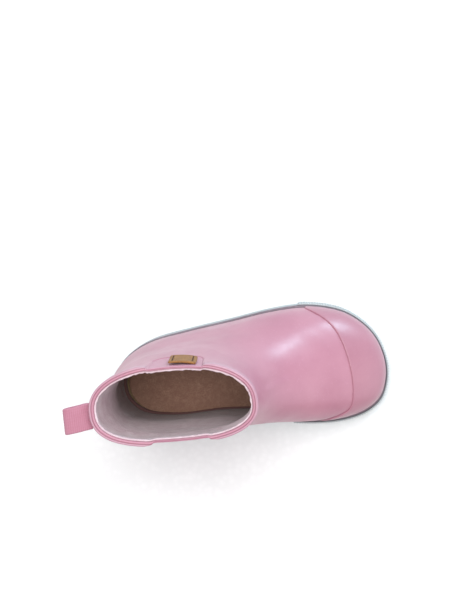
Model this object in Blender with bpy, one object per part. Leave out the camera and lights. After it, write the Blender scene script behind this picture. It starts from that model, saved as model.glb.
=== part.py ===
"""A child's low rubber rain boot for the left foot, as separate pieces.

Frame: X runs forward to the toe, Y to the outer (lateral) side, Z up, in metres.
The origin is on the ground under the middle of the sole, on the sole's flat face.
"""

import bmesh
import bpy
import numpy as np
from math import atan, ceil, cos, pi, radians, sin
from mathutils import Matrix, Vector

MM = 0.001

# Overall sizes
BOOT_HEIGHT = 130 * MM
SHAFT_LENGTH = 91.5 * MM         # front to back of the opening, outside
SHAFT_WIDTH = 44 * MM           # side to side of the opening, outside
SOLE_LENGTH_SCALE = 1.0         # stretches the foot outline lengthwise
SOLE_WIDTH_SCALE = 1.0          # stretches the foot outline sideways

# Sheet thicknesses
GAP = 0.3 * MM                  # clearance between bonded pieces
OUTSOLE = 4.0 * MM
UPPER_WALL = 1.8 * MM
STIFFENER = 0.6 * MM
LINING = 0.8 * MM
INSOLE_BOARD = 1.0 * MM
INSOLE_FOAM = 2.5 * MM
INSOLE_COVER = 0.8 * MM
INSOLE_SHORT = 2.8 * MM         # the loose insole stops short of the heel
FOXING = 2.0 * MM
BUMPER = 1.0 * MM
STRIPE = 1.8 * MM
TOE_CAP = 0.6 * MM
COLLAR = 1.0 * MM
PANEL = 1.4 * MM
LABEL = 1.2 * MM
STITCH = 0.6 * MM
WEBBING = 1.3 * MM
PATCH = 1.0 * MM

# Heights of the rubber trim round the sole
TRIM_FOOT = 0.8 * MM            # the trim stays this far off the ground
FOXING_TOP = 15.0 * MM
STRIPE_HEIGHT = 1.5 * MM
BUMPER_TOP = 16.4 * MM
BUMPER_REACH = (0.3, 0.675)     # shares of the way round the outline, from the heel

# Lasting margin: the upper and lining turn in under the foot
BEND = 5.5 * MM
MARGIN = 7.5 * MM
INSET_SLACK = 0.02              # share by which an inset point may stand nearer to the edge

# Tread
GROOVE_WIDTH = 2.6 * MM
GROOVE_DEPTH = 1.6 * MM
GROOVE_PITCH = 9.0 * MM
GROOVE_WAVE = 3.0 * MM
GROOVE_BENDS = 7
TREAD_RIM = 7.0 * MM

# Side panels, collar and label, on the shaft
PANEL_MIDDLE = -37 * MM
PANEL_TOP_WIDTH = 31.5 * MM
PANEL_FOOT_WIDTH = 29 * MM
PANEL_DEPTH = 30 * MM
PANEL_SINK = 0.4 * MM
PANEL_CORNER = 6 * MM
COLLAR_HEIGHT = 8 * MM
LABEL_WIDTH = 15.5 * MM
LABEL_HEIGHT = 17 * MM
LABEL_DROP = 5 * MM             # below the rim
LABEL_AHEAD = 5 * MM            # of the middle of the panel
LABEL_LIFT = 2.2 * MM           # its lower end stands off the shaft
STITCH_WIDTH = 1.1 * MM
STITCH_INSET = 2.2 * MM

# Pull loop, at the back of the shaft
LOOP_WIDTH = 15 * MM
LOOP_MIDDLE = -3.0 * MM
LOOP_REACH = 14.5 * MM
LOOP_DROP = 13 * MM             # hinge line below the rim
LOOP_STANDOFF = 2.6 * MM        # hinge line behind the shaft wall
LOOP_BELLY = 6.6 * MM
LOOP_COURSE = [                 # middle of the webbing, seen from the side: shares of reach and half belly
    (-1.0, 0), (-0.9, 0.85), (-0.55, 1), (-0.22, 0.8), (0, 0), (-0.22, -0.8), (-0.55, -1), (-0.9, -0.85),
]
TAIL_LENGTH = 16 * MM
TAIL_SHOWN = 1.5 * MM           # above the patch
PATCH_RIM = 3.5 * MM

# The foot outline at the outer face of the foxing, counter-clockwise from the back of the heel
OUTLINE = [
    (-89.7, 2.5), (-86.5, -11), (-74, -22.5), (-50, -27.5), (-22, -28), (4, -31), (28, -36.3), (50, -38.6),
    (68, -36.4), (81, -29), (87, -16.5), (87.9, -3), (84, 11.7), (75, 24), (62, 33), (42, 38.6),
    (20, 38.9), (-8, 36), (-36, 33.4), (-60, 30), (-76, 23), (-86.3, 12.8),
]
HALF_BALL = 39 * MM             # half the outline's greatest width

# Rings of the upper's outer face above the foxing, from the sole to the rim:
# back x, front x, back z, front z, half width, share of foot outline in the shape
RINGS = [
    (-88.4, 86.0, 22, 22.5, 36.7, 1.00),
    (-88.6, 82.4, 30, 30.5, 36.0, 0.96),
    (-88.2, 73.0, 38, 38.0, 34.5, 0.87),
    (-87.2, 59.5, 47, 45.0, 31.9, 0.74),
    (-86.2, 45.5, 55, 52.0, 29.5, 0.60),
    (-85.2, 32.5, 63, 60.0, 28.0, 0.44),
    (-84.6, 21.0, 72, 69.5, 26.7, 0.28),
    (-84.3, 12.5, 82, 81.0, 26.0, 0.14),
    (-84.4, 8.0, 94, 94.0, 24.6, 0.05),
    (-84.9, 6.4, 106, 106.5, 23.2, 0.02),
]
COLLAR_RINGS = 2                # one at the collar's foot, one at the rim
OVAL_POWER = 2.4                # squareness of the opening
SHAFT_BACK = -85.7 * MM
SHAFT_LEAN = -0.05              # the opening turns towards the inner side
SHAFT_BOW = -0.9                # and bends that way, per metre
SHAFT_SHIFT = -1.3 * MM
FOOT_SHIFT = 0.75 * MM          # the foot part of the upper stands this far to the outer side

COLUMNS = 44                    # facets round the upper
TRIM_COLUMNS = 88               # facets round the trim and the plates

RUBBER_PINK = ("pink_rubber", (0.72, 0.32, 0.44), 0.42)
RUBBER_GREY = ("grey_rubber", (0.42, 0.43, 0.45), 0.6)
RUBBER_DARK = ("dark_grey_rubber", (0.13, 0.12, 0.14), 0.6)
KNIT = ("lining_knit", (0.75, 0.66, 0.70), 0.95)
LEATHER = ("tan_leather", (0.47, 0.27, 0.10), 0.6)
INSOLE_LEATHER = ("insole_leather", (0.30, 0.19, 0.13), 0.8)
FOAM = ("foam", (0.62, 0.60, 0.56), 0.9)
BOARD = ("fibre_board", (0.55, 0.45, 0.33), 0.9)
STIFF_FELT = ("stiffener_felt", (0.62, 0.58, 0.52), 0.9)
RIBBON = ("pink_webbing", (0.72, 0.36, 0.48), 0.8)
THREAD = ("brown_thread", (0.16, 0.09, 0.05), 0.8)


def spline(points, t, closed):
    """Catmull-Rom curve through points; t counts points from the first."""
    points = np.asarray(points, float)
    count = len(points)
    start = np.floor(t).astype(int)
    if not closed:
        start = np.minimum(start, count - 2)
    f = (t - start).reshape((-1,) + (1,) * (points.ndim - 1))

    def knot(offset):
        index = start + offset
        if closed:
            return points[index % count]
        inside = points[np.clip(index, 0, count - 1)]
        low = 2 * points[0] - points[1]
        high = 2 * points[-1] - points[-2]
        inside[index < 0] = low
        inside[index > count - 1] = high
        return inside

    a, b, c, d = knot(-1), knot(0), knot(1), knot(2)
    return 0.5 * (2 * b + (c - a) * f + (2 * a - 5 * b + 4 * c - d) * f**2 + (3 * b - a - 3 * c + d) * f**3)


def closed_curve(points, count, outset=0.0, start=0.0, end=1.0):
    """Evenly spaced points along a smooth closed curve moved outset to the right of its travel."""
    fine = spline(points, np.arange(0, len(points), 0.02), closed=True)
    ahead = np.roll(fine, -1, axis=0)
    step = np.linalg.norm(ahead - fine, axis=1)
    travelled = np.concatenate([[0], np.cumsum(step)])
    tangent = ahead - np.roll(fine, 1, axis=0)
    tangent /= np.linalg.norm(tangent, axis=1)[:, None]
    moved = fine + np.stack([tangent[:, 1], -tangent[:, 0]], axis=1) * outset
    moved = np.concatenate([moved, moved[:1]])
    shares = np.linspace(start, end, count, endpoint=end - start < 1.0) % 1.0
    return np.stack([np.interp(shares * travelled[-1], travelled, moved[:, k]) for k in (0, 1)], axis=1)


def foot_outline(count, outset=0.0, start=0.0, end=1.0):
    stretch = np.array([SOLE_LENGTH_SCALE, SOLE_WIDTH_SCALE]) * MM
    return closed_curve(np.array(OUTLINE) * stretch, count, outset, start, end)


def at_height(points, z):
    return np.column_stack([points, np.full(len(points), z)])


def upper_rings():
    """The upper's outer face: points[ring, column], from the inner edge of the lasting margin to the rim."""
    wall = FOXING + GAP
    foot = foot_outline(COLUMNS)
    low = foot[:, 0].min()
    along = (foot[:, 0] - low) / (foot[:, 0].max() - low)
    toe = along.argmax()
    side = np.where(np.arange(COLUMNS) < toe, -1.0, 1.0)
    foot_side = foot[:, 1] / (HALF_BALL * SOLE_WIDTH_SCALE)
    oval = side * (1 - np.abs(2 * along - 1) ** OVAL_POWER) ** (1 / OVAL_POWER)
    margin_z = OUTSOLE + GAP
    rings = [
        at_height(foot_outline(COLUMNS, -wall - BEND - MARGIN), margin_z),
        at_height(foot_outline(COLUMNS, -wall - BEND), margin_z),
        at_height(foot_outline(COLUMNS, -wall), margin_z + BEND),
        at_height(foot_outline(COLUMNS, -wall), FOXING_TOP + STRIPE_HEIGHT + 2 * GAP),
    ]
    rim = (SHAFT_BACK / MM, (SHAFT_BACK + SHAFT_LENGTH) / MM, BOOT_HEIGHT / MM, BOOT_HEIGHT / MM, SHAFT_WIDTH / 2 / MM, 0)
    foot_of_collar = tuple(
        (a + b) / 2 for a, b in zip(RINGS[-1], rim)
    )
    for back, front, back_z, front_z, half, share in RINGS + [foot_of_collar, rim]:
        stretch = SOLE_LENGTH_SCALE + (1 - SOLE_LENGTH_SCALE) * (1 - share)
        x = (back + (front - back) * along) * MM * stretch
        ahead = x - (back + front) / 2 * MM
        shift = (1 - share) * (SHAFT_SHIFT + SHAFT_LEAN * ahead + SHAFT_BOW * ahead**2) + share * FOOT_SHIFT
        y = half * MM * (share * foot_side * SOLE_WIDTH_SCALE + (1 - share) * oval) + shift
        z = (back_z + (front_z - back_z) * along) * MM
        rings.append(np.column_stack([x, y, z]))
    return np.array(rings)


def outward(rings):
    """Unit normals of the upper's outer face; straight down on the margin and level at the foxing and the rim."""
    round_boot = np.roll(rings, -1, axis=1) - np.roll(rings, 1, axis=1)
    up_boot = np.gradient(rings, axis=0)
    normal = np.cross(round_boot, up_boot)
    normal[:2] = (0, 0, -1)
    normal[2:4, :, 2] = 0
    normal[-1, :, 2] = 0
    return normal / np.linalg.norm(normal, axis=2)[:, :, None]


UPPER_FACE = upper_rings()
UPPER_NORMAL = outward(UPPER_FACE)


def material(look):
    name, colour, roughness = look
    found = bpy.data.materials.get(name)
    if found:
        return found
    made = bpy.data.materials.new(name)
    made.use_nodes = True
    shader = made.node_tree.nodes["Principled BSDF"]
    shader.inputs["Base Color"].default_value = (*colour, 1)
    shader.inputs["Roughness"].default_value = roughness
    made.diffuse_color = (*colour, 1)
    return made


def place(name, data, look, hidden=False):
    obj = bpy.data.objects.new(name, data)
    CUTTERS.objects.link(obj) if hidden else BOOT.objects.link(obj)
    if hidden:
        obj.hide_render = True
        obj.display_type = "WIRE"
    else:
        obj.data.materials.append(material(look))
    return obj


def solid_between(name, outer, inner, look, wrap, hidden=False):
    """A closed solid between two grids of points [row, column]; wrap joins the last column to the first."""
    rows, columns = outer.shape[:2]
    points = np.concatenate([outer.reshape(-1, 3), inner.reshape(-1, 3)])
    back = rows * columns
    faces = []
    for row in range(rows - 1):
        for column in range(columns if wrap else columns - 1):
            a, b = row * columns + column, row * columns + (column + 1) % columns
            c, d = b + columns, a + columns
            faces += [(a, b, c, d), (back + d, back + c, back + b, back + a)]
    edges = []
    for column in range(columns if wrap else columns - 1):
        right = (column + 1) % columns
        edges += [(right, column), ((rows - 1) * columns + column, (rows - 1) * columns + right)]
    if not wrap:
        for row in range(rows - 1):
            edges += [(row * columns, (row + 1) * columns)]
            edges += [((row + 2) * columns - 1, (row + 1) * columns - 1)]
    faces += [(a, b, back + b, back + a) for a, b in edges]
    mesh = bpy.data.meshes.new(name)
    mesh.from_pydata(points.tolist(), [], faces)
    mesh.shade_smooth()
    mesh.set_sharp_from_angle(angle=radians(40))
    return place(name, mesh, look, hidden)


def layer(name, depth, thickness, look, rows, columns=None, hidden=False):
    """A sheet that follows the upper's outer face, its own outer face lying depth inside it."""
    wrap = columns is None
    columns = range(COLUMNS) if wrap else [c % COLUMNS for c in columns]
    block = np.ix_(list(rows), list(columns))
    face, normal = UPPER_FACE[block], UPPER_NORMAL[block]
    depth = np.broadcast_to(np.asarray(depth, float), (len(UPPER_FACE),))[list(rows)][:, None, None]
    return solid_between(name, face - normal * depth, face - normal * (depth + thickness), look, wrap, hidden)


def band(name, inner, outer, low, high, look, start=0.0, end=1.0):
    """An upright strip round the sole, from outset inner to outset outer and from height low to high."""
    whole = end - start >= 1.0
    count = TRIM_COLUMNS if whole else ceil(TRIM_COLUMNS * (end - start)) + 1
    faces = [foot_outline(count, outset, start, end) for outset in (outer, inner)]
    grids = [np.array([at_height(face, z) for z in (low, high)]) for face in faces]
    return solid_between(name, grids[0], grids[1], look, wrap=whole)


def plate(name, outlines, low, high, look, upright=False, hidden=False):
    """A flat piece: outlines filled and thickened from low to high along Z, or along Y if upright."""
    curve = bpy.data.curves.new(name, "CURVE")
    curve.dimensions = "2D"
    curve.fill_mode = "BOTH"
    curve.extrude = (high - low) / 2
    for outline in outlines:
        line = curve.splines.new("POLY")
        line.points.add(len(outline) - 1)
        line.points.foreach_set("co", [v for x, y in outline for v in (x, y, 0, 1)])
        line.use_cyclic_u = True
    obj = place(name, curve, look, hidden)
    if upright:
        obj.rotation_euler = (pi / 2, 0, 0)
        obj.location = (0, (low + high) / 2, 0)
    else:
        obj.location = (0, 0, (low + high) / 2)
    return as_mesh(obj)


def as_mesh(obj):
    """Turns a curve object into a welded mesh object of the same name, with all its faces outwards."""
    bpy.context.view_layer.update()
    name = obj.name
    collection = obj.users_collection[0]
    mesh = bpy.data.meshes.new_from_object(obj.evaluated_get(bpy.context.evaluated_depsgraph_get()))
    welded = bmesh.new()
    welded.from_mesh(mesh)
    bmesh.ops.remove_doubles(welded, verts=welded.verts, dist=1e-6)
    bmesh.ops.recalc_face_normals(welded, faces=welded.faces)
    if welded.calc_volume(signed=True) < 0:
        bmesh.ops.reverse_faces(welded, faces=welded.faces)
    welded.to_mesh(mesh)
    welded.free()
    made = bpy.data.objects.new(name, mesh)
    collection.objects.link(made)
    made.matrix_world = obj.matrix_world.copy()
    made.hide_render = obj.hide_render
    made.display_type = obj.display_type
    bpy.data.objects.remove(obj)
    made.name = name
    return made


def box_cutter(name, low, high):
    mesh = bpy.data.meshes.new(name)
    cube = bmesh.new()
    bmesh.ops.create_cube(cube, size=1.0)
    size = Vector(high) - Vector(low)
    bmesh.ops.scale(cube, vec=size, verts=cube.verts)
    bmesh.ops.translate(cube, vec=(Vector(high) + Vector(low)) / 2, verts=cube.verts)
    cube.to_mesh(mesh)
    cube.free()
    return place(name, mesh, None, hidden=True)


def boolean(obj, tool, operation):
    modifier = obj.modifiers.new(operation.lower(), "BOOLEAN")
    modifier.operation = operation
    modifier.solver = "EXACT"
    modifier.object = tool
    return obj


def rounded(corners, radius, steps=4):
    """A polygon with its corners turned as arcs; a corner with no radius stays sharp."""
    points = []
    count = len(corners)
    for k, corner in enumerate(corners):
        here = Vector(corner)
        before = (Vector(corners[k - 1]) - here).normalized()
        after = (Vector(corners[(k + 1) % count]) - here).normalized()
        r = radius[k] if isinstance(radius, (list, tuple)) else radius
        if not r:
            points.append(tuple(here))
            continue
        half = before.angle(after) / 2
        reach = r / np.tan(half)
        middle = here + (before + after).normalized() * (r / sin(half))
        first, last = here + before * reach - middle, here + after * reach - middle
        sweep = first.angle_signed(last)
        for step in range(steps + 1):
            turn = -sweep * step / steps
            x = first.x * cos(turn) - first.y * sin(turn)
            y = first.x * sin(turn) + first.y * cos(turn)
            points.append((middle.x + x, middle.y + y))
    return points


def sole_plate(name, inset, low, high, look, short=0.0):
    """A flat plate under the foot, inset from the outline and left short at the heel.

    Points that an inset wider than a bend has turned back on themselves are dropped.
    """
    outline, edge = foot_outline(TRIM_COLUMNS, -inset), foot_outline(4 * TRIM_COLUMNS)
    distance = np.linalg.norm(outline[:, None] - edge[None], axis=2).min(axis=1)
    outline = outline[distance > inset * (1 - INSET_SLACK)]
    toe, heel = outline[:, 0].max(), outline[:, 0].min()
    outline[:, 0] = toe + (outline[:, 0] - toe) * (1 - short / (toe - heel))
    return plate(name, [outline.tolist()], low, high, look)


def make_outsole():
    """Outsole with waved grooves across it, inside a plain rim."""
    sole = sole_plate("outsole", FOXING + GAP, 0, OUTSOLE, RUBBER_GREY)
    outline = foot_outline(COLUMNS, -FOXING - GAP - TREAD_RIM)
    reach = outline[:, 0]
    first = GROOVE_PITCH / 2
    count_ahead = int((reach.max() - first - GROOVE_WAVE - GROOVE_WIDTH) // GROOVE_PITCH)
    count_behind = int((-reach.min() - first - GROOVE_WAVE - GROOVE_WIDTH) // GROOVE_PITCH)
    tread = plate("tread_area", [outline.tolist()], -1 * MM, GROOVE_DEPTH, None, hidden=True)
    strips = bmesh.new()
    half_width = HALF_BALL * SOLE_WIDTH_SCALE * 1.2
    for k in range(-count_behind - 1, count_ahead + 1):
        middle = first + k * GROOVE_PITCH
        rows = []
        for step in range(GROOVE_BENDS + 1):
            y = -half_width + 2 * half_width * step / GROOVE_BENDS
            x = middle + (GROOVE_WAVE if step % 2 else -GROOVE_WAVE) / 2
            rows.append((x, y))
        low = [strips.verts.new((x - GROOVE_WIDTH / 2, y, -2 * MM)) for x, y in rows]
        high = [strips.verts.new((x + GROOVE_WIDTH / 2, y, -2 * MM)) for x, y in rows]
        base = strips.faces.new(high + low[::-1])
        grown = bmesh.ops.extrude_face_region(strips, geom=[base])["geom"]
        top = [v for v in grown if isinstance(v, bmesh.types.BMVert)]
        bmesh.ops.translate(strips, vec=(0, 0, 4 * MM), verts=top)
    bmesh.ops.recalc_face_normals(strips, faces=strips.faces)
    mesh = bpy.data.meshes.new("tread_grooves")
    strips.to_mesh(mesh)
    strips.free()
    boolean(tread, place("tread_grooves", mesh, None, hidden=True), "INTERSECT")
    return boolean(sole, tread, "DIFFERENCE")


def stack_heights():
    """Heights of the faces of the plates under the foot, from the outsole up."""
    lining_top = OUTSOLE + GAP + UPPER_WALL + GAP + STIFFENER + GAP + LINING
    board = lining_top + GAP
    foam = board + INSOLE_BOARD + GAP
    cover = foam + INSOLE_FOAM + GAP
    return lining_top, board, foam, cover


def make_bottom():
    """The plates under the foot."""
    lining_top, board, foam, cover = stack_heights()
    wall = FOXING + GAP
    lining_inside = UPPER_WALL + STIFFENER + LINING + 2 * GAP
    filler_inset = wall + BEND + MARGIN + GAP
    board_inset = wall + BEND + GAP
    insole_inset = wall + lining_inside + 4 * GAP
    sole_plate("bottom_filler", filler_inset, OUTSOLE + GAP, lining_top, FOAM)
    sole_plate("insole_board", board_inset, board, board + INSOLE_BOARD, BOARD)
    sole_plate("insole_foam", insole_inset, foam, foam + INSOLE_FOAM, FOAM, INSOLE_SHORT)
    sole_plate("insole_cover", insole_inset, cover, cover + INSOLE_COVER, INSOLE_LEATHER, INSOLE_SHORT)


def make_trim():
    """Grey rubber strips round the sole."""
    band("foxing_strip", -FOXING, 0, TRIM_FOOT, FOXING_TOP, RUBBER_GREY)
    stripe_low = FOXING_TOP + GAP
    band("edge_stripe", -FOXING, -FOXING + STRIPE, stripe_low, stripe_low + STRIPE_HEIGHT, RUBBER_DARK)
    band("toe_bumper", GAP, GAP + BUMPER, TRIM_FOOT, BUMPER_TOP, RUBBER_GREY, *BUMPER_REACH)


def panel_outline(grow=0.0):
    """Outline of a side panel, seen from the side: x and z."""
    foot, top = BOOT_HEIGHT - PANEL_DEPTH - grow, BOOT_HEIGHT + 10 * MM
    wide, narrow = PANEL_TOP_WIDTH / 2 + grow, PANEL_FOOT_WIDTH / 2 + grow
    corners = [
        (PANEL_MIDDLE - narrow, foot), (PANEL_MIDDLE + narrow, foot), (PANEL_MIDDLE + wide, BOOT_HEIGHT),
        (PANEL_MIDDLE + wide, top), (PANEL_MIDDLE - wide, top), (PANEL_MIDDLE - wide, BOOT_HEIGHT),
    ]
    return rounded(corners, [PANEL_CORNER, PANEL_CORNER, 0, 0, 0, 0])


def side_prism(name, outline, side):
    """A cutter through one side of the shaft: side is 1 for the outer side and -1 for the inner."""
    near, far = sorted((side * 4 * MM, side * 60 * MM))
    prism = plate(name, [outline], near, far, None, upright=True, hidden=True)
    middle = Vector((PANEL_MIDDLE, 0, 0))
    turn = Matrix.Translation(middle) @ Matrix.Rotation(atan(SHAFT_LEAN), 4, "Z") @ Matrix.Translation(-middle)
    prism.matrix_world = turn @ prism.matrix_world
    return prism


def top_rows(count):
    return range(len(UPPER_FACE) - count, len(UPPER_FACE))


def make_upper():
    """Pink shell with a window in each side of the shaft, and the panels set in the windows."""
    upper = layer("upper", 0, UPPER_WALL, RUBBER_PINK, range(len(UPPER_FACE)))
    for side, place_name in ((1, "lateral"), (-1, "medial")):
        boolean(upper, side_prism(f"window_{place_name}", panel_outline(), side), "DIFFERENCE")
        panel = layer(f"side_panel_{place_name}", PANEL_SINK, PANEL, RUBBER_PINK, top_rows(5))
        boolean(panel, side_prism(f"panel_shape_{place_name}", panel_outline(-GAP), side), "INTERSECT")


def make_toe_cap():
    cap = layer("toe_cap", -GAP - TOE_CAP, TOE_CAP, RUBBER_PINK, range(3, 9))
    stretch = np.array([SOLE_LENGTH_SCALE, SOLE_WIDTH_SCALE]) * MM
    edge = [(36, 46), (44, 35), (53, 28), (61, 12), (64, -7), (61.5, -26), (54.5, -32.5), (44, -37), (36, -44)]
    curve = spline(np.array(edge) * stretch, np.linspace(0, len(edge) - 1, 25), closed=False)
    front = np.array([(110, -60), (110, 60)]) * stretch
    outline = np.concatenate([curve, front]).tolist()
    low = FOXING_TOP + GAP + STRIPE_HEIGHT + GAP
    boolean(cap, plate("toe_cap_shape", [outline], low, 80 * MM, None, hidden=True), "INTERSECT")


def make_collar():
    """Binding round the outside of the rim, in front of and behind the side panels."""
    low = (-200 * MM, -100 * MM, BOOT_HEIGHT - COLLAR_HEIGHT)
    high = (200 * MM, 100 * MM, BOOT_HEIGHT + 10 * MM)
    half = PANEL_TOP_WIDTH / 2 + GAP
    front = layer("collar_strip_front", -GAP - COLLAR, COLLAR, RUBBER_PINK, top_rows(3))
    rear = layer("collar_strip_rear", -GAP - COLLAR, COLLAR, RUBBER_PINK, top_rows(3))
    boolean(front, box_cutter("front_half", (PANEL_MIDDLE + half, *low[1:]), high), "INTERSECT")
    boolean(rear, box_cutter("rear_half", low, (PANEL_MIDDLE - half, *high[1:])), "INTERSECT")


def toe_columns(share):
    """Columns round the toe, as many as this share of them all."""
    toe = UPPER_FACE[3, :, 0].argmax()
    reach = round(COLUMNS * share / 2)
    return range(toe - reach, toe + reach + 1)


def make_inside():
    """Lining, and the stiffeners between lining and upper."""
    under = UPPER_WALL + GAP
    depth = np.full(len(UPPER_FACE), under + STIFFENER + GAP)
    depth[-2:] = under
    depth[-3] = under + (STIFFENER + GAP) / 2
    layer("lining", depth, LINING, KNIT, range(len(UPPER_FACE)))
    layer("toe_puff", under, STIFFENER, STIFF_FELT, range(2, 7), toe_columns(0.32))
    layer("instep_ply", under, STIFFENER, STIFF_FELT, range(8, 12), toe_columns(0.36))
    heel = round(COLUMNS * 0.15)
    layer("heel_stiffener", under, STIFFENER, STIFF_FELT, range(2, 9), range(-heel, heel + 1))


def make_label():
    """Leather label on the outer side panel, held by a row of stitching at each end."""
    middle, top = PANEL_MIDDLE + LABEL_AHEAD, BOOT_HEIGHT - LABEL_DROP
    below = top - UPPER_FACE[:, :, 2].mean(axis=1)
    depth = PANEL_SINK - GAP - LABEL - LABEL_LIFT * np.clip(below / LABEL_HEIGHT, 0, 2)
    corners = [
        (middle - LABEL_WIDTH / 2, top - LABEL_HEIGHT), (middle + LABEL_WIDTH / 2, top - LABEL_HEIGHT),
        (middle + LABEL_WIDTH / 2, top), (middle - LABEL_WIDTH / 2, top),
    ]
    label = layer("side_label", depth, LABEL, LEATHER, top_rows(5))
    boolean(label, side_prism("label_shape", rounded(corners, 1.5 * MM), 1), "INTERSECT")
    for end, sign in (("rear", -1), ("front", 1)):
        x = middle + sign * (LABEL_WIDTH / 2 - STITCH_INSET)
        low, high = top - LABEL_HEIGHT + STITCH_INSET, top - STITCH_INSET
        half = STITCH_WIDTH / 2
        row = [(x - half, low), (x + half, low), (x + half, high), (x - half, high)]
        stitch = layer(f"label_stitch_{end}", depth - GAP - STITCH, STITCH, THREAD, top_rows(5))
        boolean(stitch, side_prism(f"stitch_shape_{end}", row, 1), "INTERSECT")


def make_loop():
    """Webbing loop, its tail on the shaft, and the rubber patch that holds the tail."""
    hinge_z = BOOT_HEIGHT - LOOP_DROP
    back = SHAFT_BACK - LOOP_STANDOFF
    right, left = LOOP_MIDDLE - LOOP_WIDTH / 2, LOOP_MIDDLE + LOOP_WIDTH / 2
    course = [(back + LOOP_REACH * x, hinge_z + LOOP_BELLY / 2 * z) for x, z in LOOP_COURSE]
    outlines = [closed_curve(course, 40, outset).tolist() for outset in (WEBBING / 2, -WEBBING / 2)]
    plate("pull_loop", outlines, right, left, RIBBON, upright=True)
    tail_top = hinge_z - WEBBING - GAP
    tail_low = tail_top - TAIL_LENGTH
    behind, ahead = SHAFT_BACK - 50 * MM, SHAFT_BACK + 30 * MM
    tail = layer("loop_tail", -GAP - WEBBING, WEBBING, RIBBON, top_rows(6))
    boolean(tail, box_cutter("tail_shape", (behind, right, tail_low), (ahead, left, tail_top)), "INTERSECT")
    over = GAP + WEBBING + GAP
    patch = layer("loop_patch", -over - PATCH, over + PATCH - GAP, RUBBER_PINK, top_rows(6))
    patch_low = (behind, right - PATCH_RIM, tail_low - PATCH_RIM)
    patch_high = (ahead, left + PATCH_RIM, tail_top - TAIL_SHOWN)
    boolean(patch, box_cutter("patch_shape", patch_low, patch_high), "INTERSECT")
    pocket = layer("patch_pocket", -over, over + GAP, None, top_rows(6), hidden=True)
    pocket_low, pocket_high = (behind, right - GAP, tail_low - GAP), (ahead, left + GAP, BOOT_HEIGHT)
    boolean(pocket, box_cutter("pocket_shape", pocket_low, pocket_high), "INTERSECT")
    boolean(patch, pocket, "DIFFERENCE")


for old in list(bpy.data.objects):
    bpy.data.objects.remove(old)
BOOT = bpy.data.collections.new("rain_boot")
CUTTERS = bpy.data.collections.new("cutters")
for group in (BOOT, CUTTERS):
    bpy.context.scene.collection.children.link(group)

make_outsole()
make_bottom()
make_trim()
make_upper()
make_toe_cap()
make_collar()
make_inside()
make_label()
make_loop()
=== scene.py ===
"""A child's low rubber rain boot for the left foot, seen from above on a pale studio floor."""

from math import atan, cos, pi, radians, sin

import bpy
import numpy as np
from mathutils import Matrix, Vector


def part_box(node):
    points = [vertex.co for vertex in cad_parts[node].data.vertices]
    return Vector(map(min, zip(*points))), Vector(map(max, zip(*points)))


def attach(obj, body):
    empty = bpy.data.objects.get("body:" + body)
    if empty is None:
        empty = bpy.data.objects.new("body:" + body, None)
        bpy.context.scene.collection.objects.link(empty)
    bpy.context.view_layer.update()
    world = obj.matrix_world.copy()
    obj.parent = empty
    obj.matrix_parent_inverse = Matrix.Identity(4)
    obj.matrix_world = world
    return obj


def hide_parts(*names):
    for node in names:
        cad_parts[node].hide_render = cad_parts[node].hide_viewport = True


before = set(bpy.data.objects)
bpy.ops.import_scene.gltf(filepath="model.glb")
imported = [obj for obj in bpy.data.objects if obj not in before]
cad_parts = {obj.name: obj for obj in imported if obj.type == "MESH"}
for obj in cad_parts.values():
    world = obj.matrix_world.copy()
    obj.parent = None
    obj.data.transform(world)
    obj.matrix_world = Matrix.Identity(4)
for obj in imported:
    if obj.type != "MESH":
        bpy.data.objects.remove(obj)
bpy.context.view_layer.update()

MM = 0.001

# Heights taken from the frame
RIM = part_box("upper")[1][2]
FOAM_LOW, FOAM_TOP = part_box("insole_foam")[0][2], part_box("insole_foam")[1][2]
COVER_LOW, COVER_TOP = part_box("insole_cover")[0][2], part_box("insole_cover")[1][2]

# Thicknesses
WALL = 1.8 * MM
LINING = 0.8 * MM
LEATHER_SHEET = 1.2 * MM
WEBBING_PLY = 1.3 * MM
CAP_RISE = 0.85 * MM            # how far the toe cap stands off the wall
BINDING_RISE = 1.15 * MM        # and the binding of the rim
GAP = 0.3 * MM

# The boot's form, in millimetres. The outline is the outer face of the foxing, counter-clockwise from the heel.
OUTLINE = np.array([
    (-89.7, 2.5), (-86.5, -11), (-74, -22.5), (-50, -27.5), (-22, -28), (4, -31), (28, -36.3), (50, -38.6),
    (68, -36.4), (81, -29), (87, -16.5), (87.9, -3), (84, 11.7), (75, 24), (62, 33), (42, 38.6),
    (20, 38.9), (-8, 36), (-36, 33.4), (-60, 30), (-76, 23), (-86.3, 12.8),
]) * MM
HALF_BALL = 39 * MM
# Sections of the pink wall: back x, front x, back z, front z, half width, share of the foot outline in its shape
SECTIONS = [
    (-88.4, 86.0, 22, 22.5, 36.7, 1.00),
    (-88.6, 82.4, 30, 30.5, 36.0, 0.96),
    (-88.2, 73.0, 38, 38.0, 34.5, 0.87),
    (-87.2, 59.5, 47, 45.0, 31.9, 0.74),
    (-86.2, 45.5, 55, 52.0, 29.5, 0.60),
    (-85.2, 32.5, 63, 60.0, 28.0, 0.44),
    (-84.6, 21.0, 72, 69.5, 26.7, 0.28),
    (-84.3, 12.5, 82, 81.0, 26.0, 0.14),
    (-84.4, 8.0, 94, 94.0, 24.6, 0.05),
    (-84.9, 6.4, 106, 106.5, 23.2, 0.02),
    (-85.3, 6.1, 118, 118.25, 22.6, 0.01),
    (-85.7, 5.8, 130, 130, 22.0, 0.00),
]
OVAL_POWER = 2.4                # squareness of the opening
SHAFT_SHIFT, SHAFT_LEAN, SHAFT_BOW = -1.3 * MM, -0.05, -0.9
FOOT_SHIFT = 0.75 * MM          # the foot part stands this far to the outer side
RIM_ROW = 15                    # the section at the rim; the foot of the wall is section 2
ROW_STEP = 12 * MM              # height between the last sections
MIDDLE_STRIP = 4 * MM           # half the strip at heel and toe that belongs to neither side

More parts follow.
